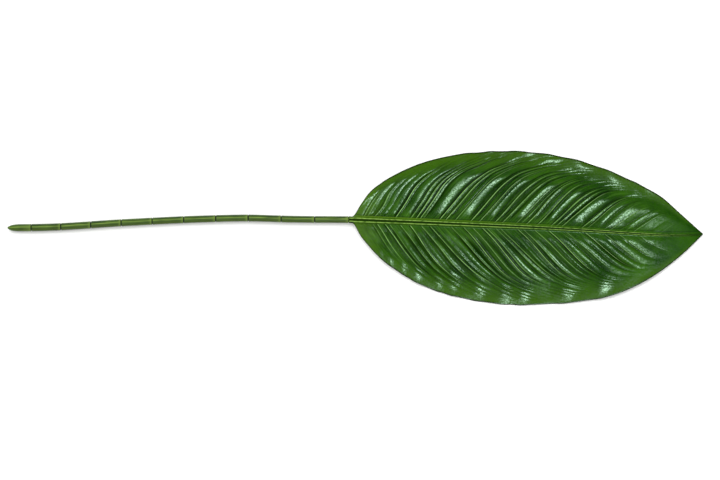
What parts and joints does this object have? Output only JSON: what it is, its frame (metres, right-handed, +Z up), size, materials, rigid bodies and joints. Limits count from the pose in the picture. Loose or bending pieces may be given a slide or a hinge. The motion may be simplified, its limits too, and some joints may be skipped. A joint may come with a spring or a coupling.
{
  "type": "peace lily leaf",
  "caption": "Pointed oval leaf with a pleated blade, a channelled midrib and a long ringed stem, lying face up.",
  "frame": {"origin": "middle of the box's bottom face, on the surface that the leaf lies on", "axes": "+X from the stem's foot to the blade's tip, +Y across the leaf, +Z up, out of the blade's upper face"},
  "size_m": [0.76, 0.1688, 0.0113],
  "materials": {
    "blade": "glossy, deep green, paler along the veins",
    "stem": "satin, mid green"
  },
  "bodies": {
    "root": {"blade": "blade", "stem": "stem"}
  },
  "joints": []
}
